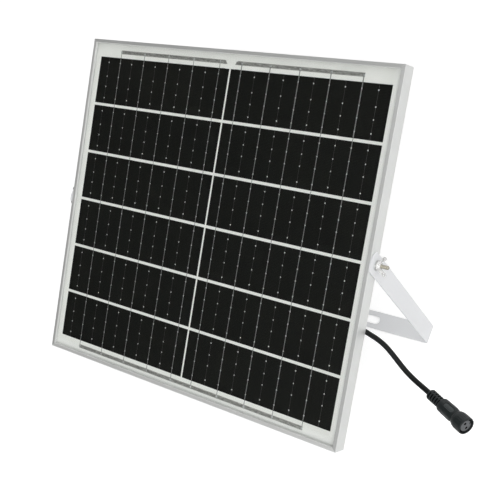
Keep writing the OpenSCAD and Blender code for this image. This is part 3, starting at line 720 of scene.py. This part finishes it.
# ------------------------------------------------------------------ carried-over nodes
# node, material, and for softened edges the bevel width and its segments
DRESSED = [
    ("u_bracket", "coat", 0.35, 3),
    ("corner_keys", "alu_mill", 0.3, 2),
    ("edge_sealant", "silicone"),
    ("glass_cover", "glass"),
    ("front_encapsulant", "film"),
    ("solar_cells", "cell"),
    ("cell_ribbons", "ribbon"),
    ("bus_ribbons", "bus"),
    ("output_tabs", "ribbon"),
    ("rear_encapsulant", "rear_film"),
    ("backsheet", "backsheet"),
    ("junction_box_adhesive", "silicone"),
    ("junction_box_base", "box", 0.3, 2),
    ("junction_box_lid", "box", 0.35, 3),
    ("junction_box_screws", "zinc", 0.12, 2),
    ("terminal_plates", "brass", 0.1, 1),
    ("blocking_diode", "box"),
    ("lead_core_red", "core_red"),
    ("lead_core_black", "core_black"),
    ("lead_cores_middle", "core_red"),
    ("lead_cores_end", "core_red"),
    ("plug_cores", "core_red"),
    ("socket_contacts", "brass"),
    ("connector_seal", "seal"),
    ("connector_insert", "insert", 0.15, 2),
    ("spacer_washers", "zinc", 0.08, 2),
    ("clamp_washer_left", "zinc", 0.15, 2),
    ("clamp_washer_right", "zinc", 0.15, 2),
]


def dress(node, material, width=0.0, segments=0):
    ob = NODES[node]
    ob.data.materials.clear()
    ob.data.materials.append(MAT[material])
    if not width:
        return
    weld = ob.modifiers.new("weld", "WELD")
    weld.merge_threshold = 3e-6
    planes = ob.modifiers.new("planes", "DECIMATE")
    planes.decimate_type = "DISSOLVE"
    planes.angle_limit = math.radians(0.4)
    bevel = ob.modifiers.new("edges", "BEVEL")
    bevel.width = width * MM
    bevel.segments = segments
    bevel.limit_method = "ANGLE"
    bevel.angle_limit = math.radians(35)
    bevel.use_clamp_overlap = True
    bevel.harden_normals = True


for row in DRESSED:
    dress(*row)

# ------------------------------------------------------------------ cell print and solder
cell_edges = sorted({round((v.co - ORIGIN).dot(UP) / MM, 2)
                     for v in NODES["solar_cells"].data.vertices})
CELL_TOPS = cell_edges[::-2]            # top edge of each row, from the top row down
CELL_HEIGHT = cell_edges[1] - cell_edges[0]
BUSBARS = 5                             # on each half of the panel
BUSBAR_PITCH = 34.65
BUSBAR_FIRST, RIBBON_FIRST = 31.3, 13.9   # the innermost, from the panel's middle
BUSBAR_HALF = 0.1
PRINT_MARGIN = 0.6                      # from the cell's edge to the end of the print
PRINT_THICK = 0.012
FORK_IN, FORK_OUT, FORK_LENGTH = 0.14, 1.1, 0.14
# pads down each cell, as shares of its height
PADS_A = (0.113, 0.410, 0.636, 0.882)   # the left half and the top row
PADS_B = (0.118, 0.364, 0.590, 0.887)   # the rest of the right half
PAD_HALF_OUTER, PAD_HALF_INNER = 0.56, 0.46   # half widths of end and middle pads
DOME_LEVELS = [(1.0, 0.0), (0.92, 0.38), (0.66, 0.76), (0.3, 0.96)]  # radius, height shares
BUS_OFFSET = 6.6                        # from the cells to the joints on the bus strips


def cell_lines(first):
    """Row, top edge, pad shares and x of each line, the innermost at first."""
    for side in (-1, 1):
        for row, top in enumerate(CELL_TOPS):
            shares = PADS_A if side < 0 or row == 0 else PADS_B
            for k in range(BUSBARS):
                yield row, top, shares, side * (first + BUSBAR_PITCH * k)


def busbar_print():
    """Thin lines between the pads, with a forked end at each edge of the cell."""
    parts = []
    for _, top, shares, x in cell_lines(BUSBAR_FIRST):
        stops = [PRINT_MARGIN] + [CELL_HEIGHT * s for s in shares] + [CELL_HEIGHT - PRINT_MARGIN]
        outlines = [rectangle(x - BUSBAR_HALF, x + BUSBAR_HALF, top - low, top - high)
                    for high, low in zip(stops[:-1], stops[1:])]
        for y, way in ((top - PRINT_MARGIN, -1), (top - CELL_HEIGHT + PRINT_MARGIN, 1)):
            outlines += [rectangle(x + e * FORK_IN, x + e * FORK_OUT, y, y + way * FORK_LENGTH)
                         for e in (-1, 1)]
        parts += [prism(outline, CELL_Z, CELL_Z + PRINT_THICK) for outline in outlines]
    return merge(*parts)


def busbar_pads():
    """Eight-sided pads on the busbars."""
    parts = []
    for _, top, shares, x in cell_lines(BUSBAR_FIRST):
        for i, share in enumerate(shares):
            y = top - CELL_HEIGHT * share
            half = PAD_HALF_INNER if i in (1, 2) else PAD_HALF_OUTER
            corners = [(-half, -0.42), (-0.3, -0.66), (0.3, -0.66), (half, -0.42),
                       (half, 0.42), (0.3, 0.66), (-0.3, 0.66), (-half, 0.42)]
            outline = [(x + dx, y + dy) for dx, dy in corners]
            parts.append(prism(outline, CELL_Z + 0.002, CELL_Z + 0.02))
    return merge(*parts)


def dome(x, y, radius_x, radius_y, z, height, count):
    verts = []
    for spread, rise in DOME_LEVELS:
        for i in range(count):
            a = 2 * math.pi * i / count
            verts.append((x + radius_x * spread * math.cos(a),
                          y + radius_y * spread * math.sin(a), z + height * rise))
    return verts, skin_faces(len(DOME_LEVELS), count)


def solder_joints():
    """Domes along the ribbons, and where they meet the bus strips."""
    parts = []
    for row, top, shares, x in cell_lines(RIBBON_FIRST):
        parts += [dome(x, top - CELL_HEIGHT * share, 0.62, 1.15, CELL_Z + 0.06, 0.10, 10)
                  for share in shares]
        if row in (0, len(CELL_TOPS) - 1):
            y = top + BUS_OFFSET if row == 0 else top - CELL_HEIGHT - BUS_OFFSET
            parts.append(dome(x, y, 1.15, 1.5, CELL_Z - 0.03, 0.16, 12))
    return merge(*parts)


piece("cell_busbar_print", busbar_print(), PANEL, "panel", "print")
piece("cell_busbar_pads", busbar_pads(), PANEL, "panel", "pad")
piece("ribbon_solder_joints", solder_joints(), PANEL, "panel", "solder")

# white insulating film over each output tab, between the cell and the bus ribbon
TAB_X = span("output_tabs", RIGHT, ORIGIN)[1] - 2.0
TAB_FILM_HALF = 3.1
for side, side_name in ((-1, "left"), (1, "right")):
    corners = rectangle(side * TAB_X - TAB_FILM_HALF, side * TAB_X + TAB_FILM_HALF,
                        CELL_TOP + 0.3, CELL_TOP + 4.45)
    film = prism(rounded(corners, [0.4] * 4, 3), CELL_Z - 0.165, CELL_Z - 0.01)
    piece("tab_insulation_" + side_name, film, PANEL, "panel", "rear_film")

# ------------------------------------------------------------------ pivot bolts, M4 x 0.7
BOLT_RADIUS = 1.95
THREAD_PITCH, THREAD_DEPTH = 0.7, 0.31
THREAD_TAPER = 0.6                      # length of the tapered tip
HEAD_FLATS, HEAD_HEIGHT, HEAD_CHAMFER = 7.0, 2.8, 0.35


def thread(z0, z1):
    """A threaded rod as one closed skin."""
    n = int(round((z1 - z0) / (THREAD_PITCH / 8)))

    def radius_at(z):
        def radius(a):
            phase = ((z / THREAD_PITCH) - a / (2 * math.pi)) % 1.0
            groove = min(1.0, max(0.0, (abs(phase * 2 - 1) - 0.12) / 0.76))
            r = BOLT_RADIUS - THREAD_DEPTH * groove
            if z1 - z < THREAD_TAPER:
                r = min(r, BOLT_RADIUS - (THREAD_TAPER - (z1 - z)) * 0.75)
            return r
        return radius

    heights = [z0 + (z1 - z0) * k / n for k in range(n + 1)]
    return rings([(z, radius_at(z)) for z in heights], 28)


def hexagon(z0, z1):
    """A hexagonal head chamfered round at z0, with its edge eased at z1."""
    corner = HEAD_FLATS / math.sqrt(3)

    def radius(a, limit=corner):
        from_flat = (a % (math.pi / 3)) - math.pi / 6
        return min(HEAD_FLATS / 2 / math.cos(from_flat), limit)

    return rings([(z0, lambda a: radius(a, corner - HEAD_CHAMFER * 1.3)),
                  (z0 + HEAD_CHAMFER * 0.6, radius),
                  (z1 - 0.12, radius),
                  (z1, lambda a: radius(a) - 0.1)], 36)


def pivot_frame(side):
    return basis(PIVOT, UP * side, OUT, RIGHT * side)


RAIL_INSIDE = WIDTH / 2 - RAIL_WALL
for side, side_name in ((-1, "left"), (1, "right")):
    head = hexagon(RAIL_INSIDE - HEAD_HEIGHT, RAIL_INSIDE)
    rod = thread(RAIL_INSIDE + 0.02, span("pivot_bolts", RIGHT * side, PIVOT)[1])
    piece("pivot_bolt_" + side_name, merge(head, rod), pivot_frame(side), "panel", "bolt",
          "pivot_bolts", sharp=40)

# ------------------------------------------------------------------ wing nuts, cast
NUT_HUB = [(0, 4.05), (0.25, 4.35), (1.35, 4.4), (1.75, 4.15), (2.1, 3.75), (3.5, 3.5),
           (3.9, 3.15)]                 # z, radius
NUT_WING = [(2.2, 0.9), (4.4, 0.9), (6.2, 2.3), (8.6, 4.9), (9.75, 6.4), (9.85, 7.6),
            (9.2, 8.75), (8.0, 9.15), (6.9, 8.6), (5.6, 6.8), (4.2, 4.9),
            (2.2, 3.7)]                 # distance from the bolt, z
NUT_BORE_RADIUS = 2.0


def wing(degrees):
    """One wing, thinning outwards from the hub."""
    outline = rounded(NUT_WING, [0.5] * len(NUT_WING), 2)
    n = len(outline)
    turned = Matrix.Rotation(math.radians(degrees), 4, "Z")
    verts = [tuple(turned @ Vector((x, e * (1.25 - 0.055 * x) if x < 8 else e * 0.81, z)))
             for e in (-1, 1) for x, z in outline]
    faces = [tuple(range(n)), tuple(reversed(range(n, 2 * n)))]
    faces += [(i, n + i, n + (i + 1) % n, (i + 1) % n) for i in range(n)]
    return verts, faces


def wing_nut(side, side_name):
    name = "wing_nut_" + side_name
    seat = span(name, RIGHT * side, PIVOT)[0]
    lean = 18 if side > 0 else 0
    ob = link(name + "_cast", new_mesh(name, merge(rings(NUT_HUB, 40), wing(lean),
                                                   wing(180 + lean))))
    face_outwards(ob.data)
    # hub and wings fused into one softened casting
    skin = ob.modifiers.new("skin", "REMESH")
    skin.mode, skin.voxel_size = "VOXEL", 0.16
    soften = ob.modifiers.new("soften", "SMOOTH")
    soften.factor, soften.iterations = 0.5, 5
    thin = ob.modifiers.new("thin", "DECIMATE")
    thin.ratio = 0.30
    drill(ob, NUT_BORE_RADIUS, -3, 12, Matrix.Identity(4))
    mesh = ob.data
    mesh.transform(pivot_frame(side) @ Matrix.Translation((0, 0, seat)))
    shade_smooth(mesh, sharp=50)
    if side < 0:
        face_outwards(mesh)
    mesh.materials.clear()
    mesh.materials.append(MAT["nickel"])
    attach(ob, "nut_" + side_name)
    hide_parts(name)


wing_nut(-1, "left")
wing_nut(1, "right")

# ------------------------------------------------------------------ lead
BOX_Y = sum(span("junction_box_base", UP, ORIGIN)) / 2
BOX_EDGE = BOX_Y - 25                   # the box's lower side
GLAND_X = sum(span("cable_gland", RIGHT, ORIGIN)) / 2
LEAD_Z = 6.6                            # height at which it leaves the box
START = Vector((GLAND_X, BOX_EDGE + 6, LEAD_Z))
SLANT = math.radians(16)                # of the second run, below the horizontal
HEADING = Vector((math.cos(SLANT), -math.sin(SLANT), 0))
BEND_RADIUS = 45.0
DIP_RADIUS, DIP_ANGLE = 25.0, math.radians(22)
DIP_BEFORE_JOINT = 26                   # from the end of the dip to the first joint, along x-y
STEP = 2.0
LEAD_RADIUS = span("lead_jacket", OUT, ORIGIN)[1] - START.z
FLEX_RADIUS = LEAD_RADIUS + 0.15        # the flexing run is a little fuller
LEAD_SIDES = 24


def fixed_path():
    """The fixed run of the lead: down, a turn to the right, then a dip behind the frame."""
    run = (SWING_AT.x - (START.x + BEND_RADIUS * (1 - math.sin(SLANT)))) / math.cos(SLANT)
    bend_y = SWING_AT.y + run * math.sin(SLANT) + BEND_RADIUS * math.cos(SLANT)
    arc_run = DIP_RADIUS * math.sin(DIP_ANGLE)
    arc_drop = DIP_RADIUS * (1 - math.cos(DIP_ANGLE))
    slope = (START.z - SWING_AT.z - 2 * arc_drop) / math.sin(DIP_ANGLE)
    slope_run = slope * math.cos(DIP_ANGLE)
    before = run - DIP_BEFORE_JOINT - 2 * arc_run - slope_run

    def round_bend(a):
        return Vector((START.x + BEND_RADIUS * (1 - math.cos(a)),
                       bend_y - BEND_RADIUS * math.sin(a), START.z))

    def arc(t):
        return DIP_RADIUS - math.sqrt(DIP_RADIUS ** 2 - t ** 2)

    def rise(t):
        """Height against the start, t along the second run."""
        if t < before:
            return 0.0
        t -= before
        if t < arc_run:
            return -arc(t)
        t -= arc_run
        if t < slope_run:
            return -arc_drop - t * math.tan(DIP_ANGLE)
        t -= slope_run
        if t < arc_run:
            return -2 * arc_drop - slope * math.sin(DIP_ANGLE) + arc(arc_run - t)
        return -(START.z - SWING_AT.z)

    n = max(2, int((START.y - bend_y) / STEP))
    path = [Vector((START.x, START.y + (bend_y - START.y) * i / n, START.z)) for i in range(n)]
    turn = math.pi / 2 - SLANT
    n = int(BEND_RADIUS * turn / STEP)
    path += [round_bend(turn * i / n) for i in range(n)]
    n = int(run / STEP)
    for i in range(n + 1):
        t = run * i / n
        point = round_bend(turn) + HEADING * t
        point.z = START.z + rise(t)
        path.append(point)
    return path


def bspline(control, n, degree=3):
    """A clamped B-spline as n + 1 points."""
    m = len(control)
    knots = [0.0] * degree + [i / (m - degree) for i in range(m - degree + 1)] + [1.0] * degree
    points = []
    for step in range(n + 1):
        t = min(step / n, 1 - 1e-9)
        c = max(i for i in range(degree, m) if knots[i] <= t)
        blend = [control[c - degree + i].copy() for i in range(degree + 1)]
        for level in range(1, degree + 1):
            for i in range(degree, level - 1, -1):
                low = knots[c - degree + i]
                w = (t - low) / (knots[i + 1 + c - level] - low)
                blend[i] = blend[i - 1] * (1 - w) + blend[i] * w
        points.append(blend[degree])
    return points


def tangent(path, i):
    return (path[min(i + 1, len(path) - 1)] - path[max(i - 1, 0)]).normalized()


def sweep(path, radius):
    """A round tube along the path, closed at both ends."""
    verts = []
    normal = (path[1] - path[0]).normalized().orthogonal().normalized()
    for i, point in enumerate(path):
        ahead = tangent(path, i)
        normal = (normal - ahead * normal.dot(ahead)).normalized()
        across = ahead.cross(normal)
        for k in range(LEAD_SIDES):
            a = 2 * math.pi * k / LEAD_SIDES
            verts.append(point + normal * (radius * math.cos(a)) + across * (radius * math.sin(a)))
    return verts, skin_faces(len(path), LEAD_SIDES)


def nearest(path, point):
    return min(range(len(path)), key=lambda i: (path[i] - point).length)


def flex(name, path, replaces):
    """A run through a joint, with no body of its own and its transform baked; hides the nodes it
    replaces.
    """
    ob = piece(name, sweep(path, FLEX_RADIUS), PANEL, None, "lead",
               sharp=60)
    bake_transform(ob)
    if replaces:
        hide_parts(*replaces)


def build_lead():
    fixed = fixed_path()
    # one smooth sag through the three joints
    sag = bspline([SWING_AT,
                   SWING_AT + HEADING * 4.2,
                   LIFT_AT + Vector((-20.8, 18.5, 3.1)),
                   LIFT_AT + Vector((-2.0, 1.36, 0.0)),
                   LIFT_AT + Vector((11.6, -6.8, -0.85)),
                   PLUG_AT - PLUG_AXIS * 5.3,
                   PLUG_AT], 54)
    in_plug = [PLUG_AT + PLUG_AXIS * d for d in (1.2, 2.4, 3.6, 4.8, 6.0, 9.0, 12.0)]
    # the lead is parted ahead of the first joint and halfway between the joints
    cut = max(i for i, point in enumerate(fixed) if (point - SWING_AT).length > 13)
    mid1 = nearest(sag, (SWING_AT + LIFT_AT) / 2)
    mid2 = nearest(sag, (LIFT_AT + PLUG_AT) / 2)
    piece("lead_fixed_run", sweep(fixed[:cut + 1], LEAD_RADIUS), PANEL, "panel", "lead",
          "lead_jacket", sharp=60)
    flex("lead_flex_first", fixed[cut:-1] + sag[:mid1 + 1],
         ())
    flex("lead_flex_second", sag[mid1:mid2 + 1],
         ("lead_jacket_middle", "lead_cores_middle"))
    flex("lead_flex_third", sag[mid2:] + in_plug,
         ("lead_jacket_end", "lead_cores_end", "plug_cable_end"))


build_lead()


# ------------------------------------------------------------------ cable gland
def gland_radius(base, share):
    """A radius cut by 14 rounded grooves, share of their full depth."""
    return lambda a: base - 0.32 * (0.5 - 0.5 * math.cos(14 * a)) ** 2 * share


GLAND_BORE = LEAD_RADIUS + 0.06
GLAND = [                               # z down from the box, radius
    (0, GLAND_BORE), (0, 2.98), (2.6, 2.98), (2.6, 3.6), (2.9, 3.85),
    (3.3, gland_radius(4.0, 0.2)), (3.8, gland_radius(4.0, 1)), (6.9, gland_radius(4.0, 1)),
    (7.4, gland_radius(3.95, 0.2)), (7.9, 3.75), (8.2, 3.35), (9.5, 3.2), (9.7, 3.0),
    (9.7, GLAND_BORE)]
gland_place = (PANEL @ Matrix.Translation((GLAND_X, BOX_EDGE + 2.6, LEAD_Z))
               @ Matrix.Rotation(math.pi / 2, 4, "X"))
piece("cable_gland_nut", rings(GLAND, 84, closed=True), gland_place, "panel", "box",
      "cable_gland", sharp=40)


# ------------------------------------------------------------------ connector
def angle_from(a, b):
    return (a - b + math.pi) % (2 * math.pi) - math.pi


def radius_along(profile, z):
    for (z0, r0), (z1, r1) in zip(profile[:-1], profile[1:]):
        if z <= z1:
            return r0 + (r1 - r0) * (z - z0) / (z1 - z0)
    return profile[-1][1]


def at_heights(heights, radius):
    """Stations whose radius is a function of z and angle."""
    return [(z, lambda a, z=z: radius(z, a)) for z in heights]


BOOT_SLOTS = [(-45, 5.9, 5), (45, 7.45, 4)]   # degrees from BOOT_ANGLE, first slot's z, count
BOOT_SLOT_PITCH, BOOT_SLOT_DEPTH = 3.1, 1.7


def boot_radius(z, a):
    """Slotted on four sides, the slots of neighbouring sides staggered."""
    base = 5.1 - 0.55 * smooth((4.5 - z) / 1.3) - 0.12 * smooth((z - 6) / 12)
    cut = 0.0
    for degrees, first, count in BOOT_SLOTS:
        away = abs(angle_from(a, BOOT_ANGLE + UPWARD * math.radians(degrees)))
        away = min(away, math.pi - away)
        window = smooth((math.radians(38) - away) / math.radians(7))
        for i in range(count):
            from_slot = abs(z - first - BOOT_SLOT_PITCH * i)
            cut = max(cut, window * smooth((0.88 - from_slot) / 0.22))
    return base - BOOT_SLOT_DEPTH * cut


def boot():
    stations = [(3.2, 3.4), (3.32, 4.0)]
    stations += at_heights([3.5 + 0.12 * i for i in range(129)], boot_radius)
    stations += [(19.0, 4.1), (22.9, 4.1), (22.9, FLEX_RADIUS + 0.03), (3.2, FLEX_RADIUS + 0.03)]
    return rings(stations, 96, closed=True)


BODY = [                                # z, radius of the gripped part
    (19.1, 5.2), (19.25, 5.75), (19.6, 6.15), (20.2, 6.38), (20.9, 6.5), (27, 6.66),
    (33.2, 6.8), (34.6, 6.72), (36, 6.45), (37.6, 6.05), (38.2, 5.9), (38.4, 5.7)]
BODY_REST = [                           # z, radius of the collar, the nose and the bore
    (38.4, 5.0), (41.4, 5.0), (41.4, 6.5), (41.5, 6.6), (43.3, 6.6), (43.4, 6.5),
    (43.4, 5.25), (45.0, 5.25), (45.0, 4.22), (19.1, 4.22)]
FLAT_HALF, FLAT_RIM, FLAT_DEPTH = 2.75, 0.55, 0.62


def body_radius(z, a):
    """Cut by four long finger flats with rounded ends and a crisp rim."""
    cut = 0.0
    for k in range(4):
        across = angle_from(a, GRIP_ANGLE + k * math.pi / 2) * 6.7
        beyond = max(0.0, abs(z - GRIP_MID) - GRIP_HALF)
        edge = smooth((FLAT_HALF - math.hypot(beyond, across)) / FLAT_RIM)
        cut = max(cut, edge * (FLAT_DEPTH + 0.02 * across * across))
    return radius_along(BODY, z) - cut


def body():
    heights = [19.1, 19.15, 19.25, 19.4, 19.6, 19.9, 20.2, 20.5, 20.9]
    heights += [21.2 + 0.24 * i for i in range(69)]
    heights += [37.8, 38.0, 38.2, 38.3, 38.4]
    return rings(at_heights(heights, body_radius) + BODY_REST, 128, closed=True)


NUT = [                                 # z, outer radius of the coupling nut
    (38.6, 6.25), (38.75, 6.42), (39.4, 6.9), (40.4, 7.36), (41.4, 7.68), (42.4, 7.92),
    (43.4, 8.08), (44.4, 8.14), (51.1, 8.15), (51.7, 8.02), (52.1, 7.85), (52.4, 7.55)]
NUT_PITCH = 1.5


def nut_outside(z, a):
    """A flared collar with very shallow flutes."""
    fluted = smooth((z - 44.2) / 1.2) * smooth((50.6 - z) / 0.8)
    flute = smooth((0.5 + 0.5 * math.cos(24 * a) - 0.55) / 0.35)
    return radius_along(NUT, z) - 0.16 * fluted * flute


def nut_inside(z, a):
    """A threaded bore."""
    phase = ((z / NUT_PITCH) - a / (2 * math.pi)) % 1.0
    threaded = smooth((z - 43.6) / 0.6) * smooth((51.6 - z) / 0.5)
    return 7.2 + 0.3 * threaded * smooth((abs(phase * 2 - 1) - 0.25) / 0.5)


def coupling_nut():
    heights = [z for z, _ in NUT] + [44.4 + 0.3 * i for i in range(1, 23)]
    heights += [39.0, 39.9, 40.9, 41.9, 42.9, 43.9, 51.4, 51.9]
    bore_heights = [52.4 - 0.14 * i for i in range(79)] + [41.25]
    stations = at_heights(sorted(set(heights)), nut_outside) + [(52.4, 7.4)]
    stations += at_heights(bore_heights, nut_inside) + [(41.25, 5.07), (38.6, 5.07)]
    return rings(stations, 144, closed=True)


piece("strain_relief_boot_ribbed", boot(), PLUG, "plug", "boot", "strain_relief_boot", sharp=45)
piece("connector_body_grip", body(), PLUG, "plug", "plug", "connector_body", sharp=38)
piece("coupling_nut_fluted", coupling_nut(), PLUG, "coupling", "plug", "coupling_nut", sharp=38)


# ------------------------------------------------------------------ floor, world and light
def floor_material():
    """Pale and matt, lifted by a glow that only the camera sees."""
    mat = Material("pale_floor")
    seen = mat.node("ShaderNodeLightPath").outputs["Is Camera Ray"]
    glow = mat.node("ShaderNodeEmission", {"Color": (1, 1, 1, 1),
                                           "Strength": mat.math("MULTIPLY", seen, 0.45)})
    color = mat.ramp(mat.noise(scale=0.004, detail=3),
                     [(0.3, (0.76, 0.76, 0.76)), (0.7, (0.78, 0.78, 0.78))])
    matt = mat.node("ShaderNodeBsdfDiffuse", {"Color": color})
    both = mat.node("ShaderNodeAddShader", {0: glow.outputs[0], 1: matt.outputs[0]})
    return mat.output(both.outputs[0])


def add_floor():
    radius, z, count = 7, -0.0003, 64   # metres
    angles = [2 * math.pi * i / count for i in range(count)]
    verts = [(radius * math.cos(a), radius * math.sin(a), z) for a in angles]
    ob = link("floor", new_mesh("floor", (verts, [tuple(range(count))])))
    ob.data.materials.append(floor_material())


def add_world():
    """A studio of pale walls, darker where the panel's face mirrors it."""
    world = bpy.data.worlds.new("studio")
    bpy.context.scene.world = world
    world.use_nodes = True
    sky = Nodes(world.node_tree)
    mirrored = to_world(Vector((-0.68, 0.10, 0.72))).normalized()
    direction = sky.node("ShaderNodeTexCoord").outputs["Generated"]
    strength = sky.remap(sky.vector("DOT_PRODUCT", direction, tuple(mirrored)),
                         over=(0.45, 0.93), to=(1.14, 0.05), interpolation_type="SMOOTHSTEP")
    room, plain = [sky.node("ShaderNodeBackground", {"Color": (1, 1, 1, 1), "Strength": s})
                   for s in (strength, 1.0)]
    seen = sky.node("ShaderNodeLightPath").outputs["Is Camera Ray"]
    mixed = sky.node("ShaderNodeMixShader", {0: seen, 1: room.outputs[0], 2: plain.outputs[0]})
    sky.node("ShaderNodeOutputWorld", {"Surface": mixed.outputs[0]})


def add_softbox(name, at, aim, size, power):
    light = bpy.data.lights.new(name, "AREA")
    light.shape = "RECTANGLE"
    light.size, light.size_y = size
    light.energy = power
    light.spread = math.radians(180)
    ob = link(name, light)
    ob.location = at
    ob.rotation_mode = "QUATERNION"
    ob.rotation_quaternion = (Vector(aim) - Vector(at)).to_track_quat("-Z", "Y")


add_floor()
bpy.context.scene.view_settings.view_transform = "Standard"
bpy.context.scene.view_settings.look = "None"
add_world()
add_softbox("key", at=(0.6, -1.3, 2.0), aim=(0.05, 0, 0.15), size=(1.2, 1.2), power=13)
